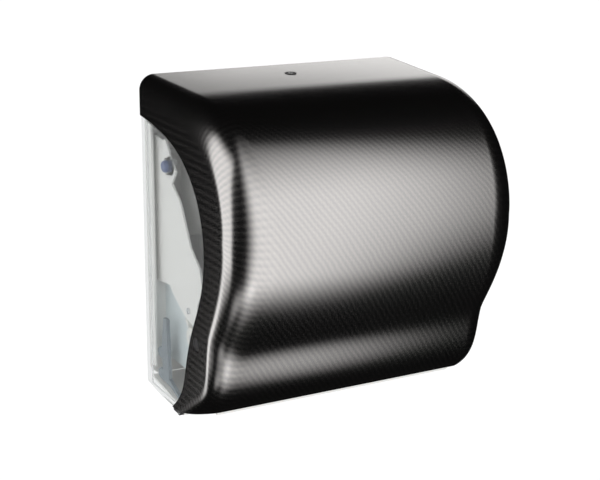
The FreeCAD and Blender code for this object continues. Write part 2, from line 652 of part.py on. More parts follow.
def tear_bar():
    """Stainless strip whose lower edge is a row of saw teeth."""
    pitch, depth = 4.0, 2.4
    half = 108.0
    edge_z, top_z = 10.0, 31.0
    points = [V(-half, 0, top_z), V(-half, 0, edge_z)]
    for i in range(int(2 * half / pitch)):
        x = -half + i * pitch
        points.append(V(x + pitch / 2, 0, edge_z - depth))
        points.append(V(x + pitch, 0, edge_z))
    points.append(V(half, 0, top_z))
    face = Part.Face(Part.makePolygon(points + points[:1]))
    bar = face.extrude(V(0, 1.0, 0))
    bar.translate(V(0, TEAR_Y, 0))
    return drilled(bar, tear_screw_places())


TEAR_Y = -99.0
TEAR_SCREWS = (-90.0, 0.0, 90.0)


def tear_bar_holder():
    """Bar between the mechanism frames that carries the tear strip and guides the paper's front."""
    body = slab([(TEAR_Y + 1.0, 14.0), (TEAR_Y + 1.0, 48.0), (TEAR_Y + 4.0, 51.0), (TEAR_Y + 5.4, 50.0),
                 (TEAR_Y + 3.4, 44.0), (TEAR_Y + 3.4, 14.0)], -FRAME_IN, FRAME_IN)
    return drilled(body, tear_screw_places())


def housing_screw_places():
    """Place, direction, head radius and length of each screw of the housing."""
    out = V(0, -1, 0)
    places = []
    for side in (-1, 1):
        places.append((side * CHEEK_OUT, *CHEEK_BOSS, V(side, 0, 0), 3.2, 8.0))
        for x, zz in ((130.6, 140.0), (130.6, 225.0), (118.0, 36.0), (118.0, 112.0)):
            places.append((side * x, -5.5, zz, out, 3.0, 4.5))
        for zz in (165.0, 228.0):
            places.append((side * 116.0, -PLATE_THICK - 3.0, zz, out, 3.0, 5.0))
    return places


def tear_screw_places():
    return [(x, TEAR_Y, 22.0, V(0, -1, 0), 3.0, 4.2) for x in TEAR_SCREWS]


def housing_screws():
    return group([screw(*place) for place in housing_screw_places()])


def tear_bar_screws():
    return group([screw(*place) for place in tear_screw_places()])


def latch_keeper():
    """Bracket under the top with a lip on a post, which the lock's cam turns under."""
    arm = box(-20.0, 16.0, -50.0, -PLATE_THICK, 294.0, 296.5)
    post = box(13.5, 16.0, -50.0, -34.0, 294.0, 306.2)
    lip = box(5.0, 16.0, -50.0, -34.0, 304.2, 306.2)
    return fused([arm, post, lip])


def housing_pieces():
    pieces = {
        "back_plate": back_plate(),
        "roll_arm_left": roll_arm_left(),
        "roll_arm_right": roll_arm_right(),
        "bottom_cover": bottom_cover(),
        "paper_chute": paper_chute(),
        "bearing_bushes": bushes(),
        "lever_pins": lever_pins(),
        "pawl_pin": rod(-FRAME_IN, -GEAR_OUT - 1.0, PAWL_Y, PAWL_Z, PAWL_PIN_R),
        "tear_bar": tear_bar(),
        "tear_bar_holder": tear_bar_holder(),
        "tear_bar_screws": tear_bar_screws(),
        "housing_screws": housing_screws(),
        "latch_keeper": latch_keeper(),
    }
    for name, side in (("left", -1), ("right", 1)):
        pieces["side_window_" + name] = side_window(side)
        pieces["cheek_" + name] = cheek(side)
        pieces["pivot_collar_" + name] = pivot_collar(side)
        pieces["pivot_cap_" + name] = pivot_cap(side)
        pieces["chute_clip_" + name] = chute_clip(side)
        pieces["mechanism_frame_" + name] = mechanism_frame(side)
    return pieces


def moving_pieces():
    pieces = {
        "paper_roll": tube(-ROLL_HALF, ROLL_HALF, ROLL_Y, ROLL_Z, ROLL_R, CORE_R),
        "roll_core": tube(-ROLL_HALF, ROLL_HALF, ROLL_Y, ROLL_Z, CORE_R, CORE_BORE_R),
        "roll_hub_left": roll_hub(-1),
        "roll_hub_right": roll_hub(1),
        "plunger": plunger(),
        "plunger_knob": plunger_knob(),
        "plunger_spring": tube(ARM_OUT + 1.7, CUP_OUT - 2.5, ROLL_Y, ROLL_Z, 8.6, STUD_R + 0.4),
        "lever_paddle": lever_paddle(),
        "lever_arm_left": lever_arm(-1),
        "lever_arm_right": lever_arm(1),
        "sector_gear": sector_gear(),
        "clutch_pinion": clutch_pinion(),
        "pawl": pawl(),
    }
    pieces.update(drive_pieces())
    pieces.update(pinch_pieces())
    return pieces


def main():
    os.makedirs("parts", exist_ok=True)
    for old in os.listdir("parts"):
        os.remove(os.path.join("parts", old))
    pieces = {**housing_pieces(), **cover_pieces(), **moving_pieces()}
    for name, shape in pieces.items():
        placed = shape.copy()
        placed.translate(V(0, 0, -MOUNT_HEIGHT))
        print(name, placed.isValid(), len(placed.Solids), round(placed.Volume))
        placed.exportStep(os.path.join("parts", name + ".step"))


main()
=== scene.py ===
"""Looks of the lever paper towel dispenser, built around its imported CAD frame.

Lengths inside the classes are millimetres measured from the lower rear corner of the
housing; Space.place turns them into the frame's metres.
"""

import json
import logging
import math
from collections.abc import Callable, Sequence
from dataclasses import dataclass, field
from enum import Enum

import bpy
import numpy as np
from mathutils import Matrix, Vector
from mathutils.geometry import tessellate_polygon


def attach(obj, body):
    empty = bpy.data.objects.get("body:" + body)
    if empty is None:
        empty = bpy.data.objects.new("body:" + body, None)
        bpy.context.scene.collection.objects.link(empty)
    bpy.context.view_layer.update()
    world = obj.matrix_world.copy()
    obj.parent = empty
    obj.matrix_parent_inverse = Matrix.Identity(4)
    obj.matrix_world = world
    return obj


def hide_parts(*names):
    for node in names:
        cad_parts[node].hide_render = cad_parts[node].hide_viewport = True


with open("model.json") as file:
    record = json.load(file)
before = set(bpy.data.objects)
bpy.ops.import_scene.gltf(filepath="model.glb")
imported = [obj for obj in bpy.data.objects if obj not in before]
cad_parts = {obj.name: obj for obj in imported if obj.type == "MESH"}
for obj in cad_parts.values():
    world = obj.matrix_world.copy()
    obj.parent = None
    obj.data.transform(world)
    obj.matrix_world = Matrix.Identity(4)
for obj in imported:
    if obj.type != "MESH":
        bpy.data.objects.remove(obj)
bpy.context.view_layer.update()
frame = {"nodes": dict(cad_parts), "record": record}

LOG = logging.getLogger("dispenser")
MM = 0.001
MOUNT_HEIGHT = 160.0
IMAGE_WIDTH = 600.0
Colour = tuple[float, float, float]


class Space:
    """The change from the drawing's millimetres to the frame's metres."""

    @staticmethod
    def place(points: np.ndarray) -> np.ndarray:
        """Points in drawing millimetres as frame metres: z loses the mount's height."""
        return (np.asarray(points, float) - np.array([0.0, 0.0, MOUNT_HEIGHT])) * MM


# Shader expressions


class Sock:
    """A shader socket that takes part in arithmetic."""

    def __init__(self, graph: "Graph", link: object) -> None:
        """Keeps the graph and the socket."""
        self.graph = graph
        self.link = link

    def __add__(self, other: "Sock | float") -> "Sock":
        """Sum."""
        return self.graph.maths("ADD", self, other)

    __radd__ = __add__

    def __mul__(self, other: "Sock | float") -> "Sock":
        """Product."""
        return self.graph.maths("MULTIPLY", self, other)

    __rmul__ = __mul__

    def __sub__(self, other: "Sock | float") -> "Sock":
        """Difference."""
        return self.graph.maths("SUBTRACT", self, other)

    def __rsub__(self, other: float) -> "Sock":
        """Difference with the socket taken away."""
        return self.graph.maths("SUBTRACT", other, self)

    def __truediv__(self, other: "Sock | float") -> "Sock":
        """Quotient."""
        return self.graph.maths("DIVIDE", self, other)

    def __pow__(self, other: float) -> "Sock":
        """Power."""
        return self.graph.maths("POWER", self, other)


class Graph:
    """A material's node tree with short ways to add nodes."""

    def __init__(self, name: str) -> None:
        """Makes the material and its output node.

        Args:
            name: The material's name.
        """
        self.material = bpy.data.materials.new(name)
        self.material.use_nodes = True
        self.tree = self.material.node_tree
        self.tree.nodes.clear()
        self.output = self.tree.nodes.new("ShaderNodeOutputMaterial")

    def node(self, kind: str, settings: dict | None = None, inputs: dict | None = None) -> object:
        """Adds one node.

        Args:
            kind: The node's type.
            settings: Properties that are set first; "stops" fills a colour ramp.
            inputs: Values or sockets for its inputs, by name or number.

        Returns:
            The node.
        """
        made = self.tree.nodes.new(kind)
        for name, value in (settings or {}).items():
            if name == "stops":
                self._fill_ramp(made.color_ramp, value)
            else:
                setattr(made, name, value)
        for name, value in (inputs or {}).items():
            self.feed(made.inputs[name], value)
        return made

    @staticmethod
    def _fill_ramp(ramp: object, stops: Sequence[tuple[float, Colour]]) -> None:
        """Gives a colour ramp its stops."""
        while len(ramp.elements) < len(stops):
            ramp.elements.new(0.5)
        for element, (position, colour) in zip(ramp.elements, stops):
            element.position = position
            element.color = (*colour, 1.0)

    def feed(self, socket: object, value: object) -> None:
        """Links a socket to another, or sets its value."""
        if isinstance(value, Sock):
            self.tree.links.new(value.link, socket)
        elif isinstance(value, tuple) and len(value) == 3 and len(socket.default_value) == 4:
            socket.default_value = (*value, 1.0)
        else:
            socket.default_value = value

    def maths(self, operation: str, *values: "Sock | float", clamp: bool = False) -> Sock:
        """One Math node on numbers and sockets."""
        settings = {"operation": operation, "use_clamp": clamp}
        made = self.node("ShaderNodeMath", settings, dict(enumerate(values)))
        return Sock(self, made.outputs[0])

    def wave(self, phase: Sock) -> Sock:
        """A wave between 0 and 1 for a phase counted in whole turns."""
        return self.maths("SINE", phase * (2 * math.pi)) * 0.5 + 0.5

    def step(self, value: Sock, start: float, end: float) -> Sock:
        """0 before start and 1 after end, with a smooth rise between them."""
        made = self.node(
            "ShaderNodeMapRange",
            {"interpolation_type": "SMOOTHSTEP"},
            {"Value": value, "From Min": start, "From Max": end},
        )
        return Sock(self, made.outputs["Result"])

    def mix(self, share: "Sock | float", first: object, second: object) -> Sock:
        """Blend of two colours."""
        made = self.node("ShaderNodeMix", {"data_type": "RGBA"})
        self.feed(made.inputs[0], share)
        self.feed(made.inputs[6], first)
        self.feed(made.inputs[7], second)
        return Sock(self, made.outputs[2])

    def noise(self, scale: float, detail: float = 2.0, source: Sock | None = None) -> Sock:
        """Noise on Object coordinates in metres, or on another vector."""
        vector = source or self.object_place()
        made = self.node(
            "ShaderNodeTexNoise", None, {"Vector": vector, "Scale": scale, "Detail": detail}
        )
        return Sock(self, made.outputs["Fac"])

    def object_place(self) -> Sock:
        """Object coordinates, in metres."""
        return Sock(self, self.node("ShaderNodeTexCoord").outputs["Object"])

    def split(self, vector: Sock) -> tuple[Sock, Sock, Sock]:
        """The three parts of a vector."""
        made = self.node("ShaderNodeSeparateXYZ", None, {0: vector})
        return tuple(Sock(self, made.outputs[i]) for i in range(3))

    def bump(self, height: Sock, distance: float, strength: float = 1.0) -> Sock:
        """Normal raised by a height between 0 and 1, over a distance in metres."""
        made = self.node(
            "ShaderNodeBump", None, {"Height": height, "Distance": distance, "Strength": strength}
        )
        return Sock(self, made.outputs["Normal"])

    def surface(self, **inputs: object) -> bpy.types.Material:
        """Ends the graph in one Principled shader.

        Args:
            inputs: Socket names with spaces written as underscores.

        Returns:
            The finished material.
        """
        named = {name.replace("_", " "): value for name, value in inputs.items()}
        shader = self.node("ShaderNodeBsdfPrincipled", None, named)
        self.tree.links.new(shader.outputs[0], self.output.inputs["Surface"])
        return self.material


# Finishes


class Slot(Enum):
    """The record's material slots."""

    BLACK_PEARL = "black_pearl"
    BLACK_PLASTIC = "black_plastic"
    FROSTED = "frosted"
    WHITE_PLASTIC = "white_plastic"
    SLATE_BLUE = "slate_blue"
    GREY_PLASTIC = "grey_plastic"
    PALE_GREY = "pale_grey"
    STEEL = "steel"
    ZINC = "zinc"
    RUBBER = "rubber"
    ACETAL = "acetal"
    TOWEL = "towel"
    CORE_BOARD = "core_board"


@dataclass(frozen=True)
class Moulded:
    """Moulded plastic with a fine grain."""

    colour: Colour
    roughness: float = 0.42
    grain: float = 900.0
    depth: float = 0.00002
    sheen_coat: float = 0.0

    def material(self, name: str) -> bpy.types.Material:
        """The plastic's material: even colour, faint cloud in gloss, fine grain."""
        graph = Graph(name)
        cloud = graph.noise(30.0)
        grain = graph.noise(self.grain, 1.0)
        dark = tuple(0.94 * part for part in self.colour)
        return graph.surface(
            Base_Color=graph.mix(cloud, dark, self.colour),
            Roughness=cloud * 0.08 + (self.roughness - 0.04),
            Coat_Weight=self.sheen_coat,
            Normal=graph.bump(grain, self.depth, 0.5),
        )


@dataclass(frozen=True)
class Frosted:
    """Clear sheet with a frosted face: near things show, further ones blur."""

    colour: Colour = (0.79, 0.8, 0.8)
    roughness: float = 0.1
    clear: float = 0.96
    bend: float = 1.06

    def material(self, name: str) -> bpy.types.Material:
        """The frosted sheet's material."""
        graph = Graph(name)
        cloud = graph.noise(12.0)
        return graph.surface(
            Base_Color=self.colour,
            Roughness=cloud * 0.04 + (self.roughness - 0.02),
            IOR=self.bend,
            Transmission_Weight=self.clear,
        )


@dataclass(frozen=True)
class Metal:
    """Plated or brushed metal."""

    colour: Colour
    roughness: float
    brushed: bool = False

    def material(self, name: str) -> bpy.types.Material:
        """The metal's material, with hairlines across the width when it is brushed."""
        graph = Graph(name)
        x, y, z = graph.split(graph.object_place())
        if self.brushed:
            lines = graph.node("ShaderNodeCombineXYZ", None, {0: x * 30.0, 1: y * 2500.0, 2: z * 2500.0})
            scratch = graph.noise(1.0, 2.0, Sock(graph, lines.outputs[0]))
        else:
            scratch = graph.noise(60.0)
        return graph.surface(
            Base_Color=self.colour,
            Metallic=1.0,
            Roughness=scratch * 0.14 + (self.roughness - 0.07),
        )


@dataclass(frozen=True)
class Fibrous:
    """Paper or board."""

    colour: Colour
    scale: float
    depth: float
    emboss: float = 0.0

    def material(self, name: str) -> bpy.types.Material:
        """The paper's material: fibres, and rows of small embossed dots where it has them."""
        graph = Graph(name)
        fibre = graph.noise(self.scale, 4.0)
        height = fibre
        if self.emboss:
            x, y, z = graph.split(graph.object_place())
            rows = graph.wave(x * self.emboss) * graph.wave((y + z) * self.emboss)
            height = fibre * 0.4 + rows
        darker = tuple(0.9 * part for part in self.colour)
        return graph.surface(
            Base_Color=graph.mix(fibre, darker, self.colour),
            Roughness=0.9,
            Normal=graph.bump(height, self.depth, 0.6),
        )


@dataclass(frozen=True)
class WovenPearl:
    """Black pearl skin of the cover, with a fine two-by-two twill in it.

    The twill is read from the skin's own UV map, which is in millimetres along the surface.
    Its stripes fall to the right, steepness millimetres for each millimetre across, and a
    fine cell pattern lies over them.
    """

    dark: Colour = (0.165, 0.164, 0.167)
    light: Colour = (0.222, 0.216, 0.212)
    pitch: float = 5.0
    steepness: float = 1.4
    cell: float = 1.77
    roughness: float = 0.2

    def material(self, name: str) -> bpy.types.Material:
        """The pearl skin's material."""
        graph = Graph(name)
        uv = Sock(graph, graph.node("ShaderNodeUVMap", {"uv_map": SkinMap.NAME}).outputs[0])
        across, down, _ = graph.split(uv)
        turn = (across * self.steepness - down) / (self.pitch * math.hypot(self.steepness, 1.0))
        wander = graph.noise(0.05, 3.0, uv)
        stripe = graph.wave(turn + wander * 0.7)
        cells = graph.wave(across / (2.0 * self.cell)) * graph.wave(down / (2.0 * self.cell))
        rib = graph.wave(down / (4.0 * self.cell))
        side = graph.step(graph.maths("ABSOLUTE", graph.split(graph.object_place())[0]), 0.112, 0.138)
        weave = (stripe * 0.75 + cells * 0.25) * (1.0 - side * 0.75) + rib * (side * 0.75)
        cloud = graph.noise(0.02, 2.0, uv)
        return graph.surface(
            Base_Color=graph.mix(weave * 0.75 + cloud * 0.25, self.dark, self.light),
            Metallic=1.0,
            Roughness=weave * 0.05 + (self.roughness - 0.025),
            Coat_Weight=0.3,
            Coat_Roughness=0.08,
            Normal=graph.bump(weave, 0.00004, 0.25),
        )


def finishes() -> dict[Slot, bpy.types.Material]:
    """One material for each slot of the record."""
    plans: dict[Slot, object] = {
        Slot.BLACK_PEARL: WovenPearl(),
        Slot.BLACK_PLASTIC: Moulded((0.012, 0.012, 0.014), 0.35),
        Slot.FROSTED: Frosted(),
        Slot.WHITE_PLASTIC: Moulded((0.86, 0.86, 0.84)),
        Slot.SLATE_BLUE: Moulded((0.1, 0.145, 0.3), 0.4),
        Slot.GREY_PLASTIC: Moulded((0.2, 0.24, 0.27), 0.5),
        Slot.PALE_GREY: Moulded((0.7, 0.77, 0.79), 0.4),
        Slot.STEEL: Metal((0.62, 0.63, 0.65), 0.34, True),
        Slot.ZINC: Metal((0.75, 0.76, 0.78), 0.2),
        Slot.RUBBER: Moulded((0.03, 0.03, 0.032), 0.75, 500.0, 0.00004),
        Slot.ACETAL: Moulded((0.88, 0.87, 0.82), 0.35),
        Slot.TOWEL: Fibrous((0.93, 0.93, 0.91), 1500.0, 0.0003, 180.0),
        Slot.CORE_BOARD: Fibrous((0.5, 0.37, 0.24), 900.0, 0.0002),
    }
    return {slot: plan.material(slot.value) for slot, plan in plans.items()}


# Surfaces


@dataclass
class Patch:
    """A piece of surface: points, outward normals, skin coordinates and triangles."""

    points: np.ndarray
    normals: np.ndarray
    skin: np.ndarray
    triangles: np.ndarray


class SkinMap:
    """The UV map that carries millimetres along the surface."""

    NAME = "skin"


def grid_patch(points: np.ndarray, normals: np.ndarray, skin: np.ndarray) -> Patch:
    """Triangles over a grid of points.

    Args:
        points: Rows by columns of places; normals and skin have the same rows and columns.
        normals: Outward directions.
        skin: Skin coordinates.

    Returns:
        The patch, turned so that its triangles face along its normals.
    """
    rows, cols = points.shape[:2]
    index = np.arange(rows * cols).reshape(rows, cols)
    a, b = index[:-1, :-1].ravel(), index[:-1, 1:].ravel()
    c, d = index[1:, 1:].ravel(), index[1:, :-1].ravel()
    triangles = np.concatenate([np.stack([a, b, c], 1), np.stack([a, c, d], 1)])
    made = Patch(points.reshape(-1, 3), normals.reshape(-1, 3), skin.reshape(-1, 2), triangles)
    return faced(made)


def faced(patch: Patch) -> Patch:
    """The patch with every triangle turned to face along its normals."""
    p = patch.points[patch.triangles]
    face = np.cross(p[:, 1] - p[:, 0], p[:, 2] - p[:, 0])
    wanted = patch.normals[patch.triangles].sum(1)
    back = (face * wanted).sum(1) < 0
    patch.triangles[back] = patch.triangles[back][:, ::-1]
    return patch


def flat_patch(loops: Sequence[np.ndarray], lift: Callable[[np.ndarray], np.ndarray],
               normal: Sequence[float], skin: Callable[[np.ndarray], np.ndarray]) -> Patch:
    """A flat piece with holes.

    Args:
        loops: The outline and then each hole, as runs of flat coordinates.
        lift: Puts flat coordinates in space.
        normal: The outward direction.
        skin: Gives the skin coordinates of flat coordinates.

    Returns:
        The patch.
    """
    flat = np.concatenate(loops)
    runs = [[Vector((*point, 0.0)) for point in loop] for loop in loops]
    triangles = np.array(tessellate_polygon(runs), int)
    normals = np.repeat(np.asarray([normal], float), len(flat), 0)
    return faced(Patch(lift(flat), normals, skin(flat), triangles))


def build_mesh(name: str, points: np.ndarray, triangles: np.ndarray, corner_normals: np.ndarray,
               corner_skin: np.ndarray) -> bpy.types.Object:
    """Makes an object of triangles with given corner normals and skin coordinates.

    Args:
        name: The object's name.
        points: Places in drawing millimetres.
        triangles: Corners of each triangle.
        corner_normals: One direction for each corner of each triangle.
        corner_skin: One pair of skin coordinates for each corner.

    Returns:
        The object, linked to the scene.
    """
    mesh = bpy.data.meshes.new(name)
    mesh.from_pydata(Space.place(points), [], triangles)
    layer = mesh.uv_layers.new(name=SkinMap.NAME)
    layer.data.foreach_set("uv", np.asarray(corner_skin, np.float32).ravel())
    mesh.polygons.foreach_set("use_smooth", np.ones(len(triangles), bool))
    mesh.normals_split_custom_set(np.asarray(corner_normals, float).reshape(-1, 3))
    mesh.validate()
    made = bpy.data.objects.new(name, mesh)
    bpy.context.scene.collection.objects.link(made)
    return made


def shell(name: str, patches: Sequence[Patch], wall: float) -> bpy.types.Object:
    """Joins patches and gives them a wall: the inner face lies a wall's thickness behind the outer.

    Args:
        name: The object's name.
        patches: The outer surface.
        wall: Thickness in millimetres.

    Returns:
        The object, closed round its edges.
    """
    starts = np.cumsum([0] + [len(patch.points) for patch in patches[:-1]])
    points = np.concatenate([patch.points for patch in patches])
    normals = np.concatenate([patch.normals for patch in patches])
    skin = np.concatenate([patch.skin for patch in patches])
    corners = np.concatenate([patch.triangles + start for patch, start in zip(patches, starts)])
    _, first, same = np.unique(np.round(points, 3), axis=0, return_index=True, return_inverse=True)
    same = same.reshape(-1)
    welded = same[corners]
    real = (welded[:, 0] != welded[:, 1]) & (welded[:, 1] != welded[:, 2]) & (welded[:, 2] != welded[:, 0])
    corners, welded = corners[real], welded[real]
    outer = points[first]
    inner = outer - wall * normals[first]
    inner[:, 1] = np.minimum(inner[:, 1], 0.0)
    count = len(first)
    edges = np.concatenate([welded[:, [0, 1]], welded[:, [1, 2]], welded[:, [2, 0]]])
    keys = np.sort(edges, 1) @ np.array([count, 1])
    _, where, uses = np.unique(keys, return_index=True, return_counts=True)
    rim = edges[where[uses == 1]]
    rim_faces = np.concatenate([
        np.stack([rim[:, 1], rim[:, 0], rim[:, 0] + count], 1),
        np.stack([rim[:, 1], rim[:, 0] + count, rim[:, 1] + count], 1),
    ])
    places = np.concatenate([outer, inner])
    p = places[rim_faces]
    flat = np.cross(p[:, 1] - p[:, 0], p[:, 2] - p[:, 0])
    flat /= np.maximum(np.linalg.norm(flat, axis=1), 1e-9)[:, None]
    skin_of = skin[first]
    return build_mesh(
        name,
        places,
        np.concatenate([welded, welded[:, ::-1] + count, rim_faces]),
        np.concatenate([normals[corners], -normals[corners][:, ::-1], np.repeat(flat[:, None], 3, 1)]),
        np.concatenate([skin[corners], skin[corners][:, ::-1], skin_of[rim_faces % count]]),
    )


def prism(name: str, loops: Sequence[np.ndarray], x0: float, x1: float, rounding: float) -> bpy.types.Object:
    """An upright plate: (y, z) loops carried from x0 to x1, with rounded edges.

    Args:
        name: The object's name.
        loops: The outline and then each hole.
        x0: One face.
        x1: The other face.
        rounding: Width of the rounded edge.

    Returns:
        The object.
    """
    low, high = min(x0, x1), max(x0, x1)
    flat = np.concatenate(loops)
    runs = [[Vector((*point, 0.0)) for point in loop] for loop in loops]
    cap = np.array(tessellate_polygon(runs), int)
    p = flat[cap]
    turn = np.cross(p[:, 1] - p[:, 0], p[:, 2] - p[:, 0])
    cap[turn < 0] = cap[turn < 0][:, ::-1]
    count = len(flat)
    quads = []
    start = 0
    for number, loop in enumerate(loops):
        here = start + np.arange(len(loop))
        after = np.roll(here, -1)
        following = np.roll(loop, -1, 0)
        area = (loop[:, 0] * following[:, 1] - following[:, 0] * loop[:, 1]).sum()
        if (area < 0) != (number > 0):
            here, after = after, here
        quads.append(np.stack([here, after, after + count, here + count], 1))
        start += len(loop)
    walls = np.concatenate(quads)
    points = np.concatenate([
        np.column_stack([np.full(count, low), flat]),
        np.column_stack([np.full(count, high), flat]),
    ])
    faces = [list(f) for f in cap[:, ::-1]] + [list(f) for f in cap + count] + [list(f) for f in walls]
    mesh = bpy.data.meshes.new(name)
    mesh.from_pydata(Space.place(points), [], faces)
    mesh.validate()
    made = bpy.data.objects.new(name, mesh)
    bpy.context.scene.collection.objects.link(made)
    if rounding:
        bevel = made.modifiers.new("edges", "BEVEL")
        bevel.width = rounding * MM
        bevel.segments = 2
        bevel.limit_method = "ANGLE"
        bevel.angle_limit = math.radians(40.0)
    return made


def ring_of(centre: Sequence[float], radius: float, count: int) -> np.ndarray:
    """Points round a circle: centre plus radius times cosine and sine."""
    angle = np.arange(count) * 2 * math.pi / count
    return np.asarray(centre) + radius * np.column_stack([np.cos(angle), np.sin(angle)])


def spline(points: Sequence[Sequence[float]], count: int) -> np.ndarray:
    """Natural cubic curve through points, spaced by the length of its chords.

    The second derivatives m solve the usual three-term equations with zero at both ends.

    Args:
        points: Places to pass through.
        count: Number of places wanted.

    Returns:
        The places on the curve.
    """
    p = np.asarray(points, float)
    gaps = np.linalg.norm(np.diff(p, axis=0), axis=1)
    at = np.concatenate([[0.0], np.cumsum(gaps)])
    size = len(p)
    system = np.eye(size)
    right = np.zeros_like(p)
    inner = np.arange(1, size - 1)
    system[inner, inner - 1] = gaps[:-1]
    system[inner, inner] = 2 * (gaps[:-1] + gaps[1:])
    system[inner, inner + 1] = gaps[1:]
    right[1:-1] = 6 * (np.diff(p, axis=0)[1:] / gaps[1:, None] - np.diff(p, axis=0)[:-1] / gaps[:-1, None])
    m = np.linalg.solve(system, right)
    t = np.linspace(0.0, at[-1], count)
    k = np.clip(np.searchsorted(at, t, side="right") - 1, 0, size - 2)
    h, before, after = gaps[k][:, None], (t - at[k])[:, None], (at[k + 1] - t)[:, None]
    bend = m[k] * after**3 / (6 * h) + m[k + 1] * before**3 / (6 * h)
    ends = (p[k] / h - m[k] * h / 6) * after + (p[k + 1] / h - m[k + 1] * h / 6) * before
    return bend + ends


# Sub-assemblies


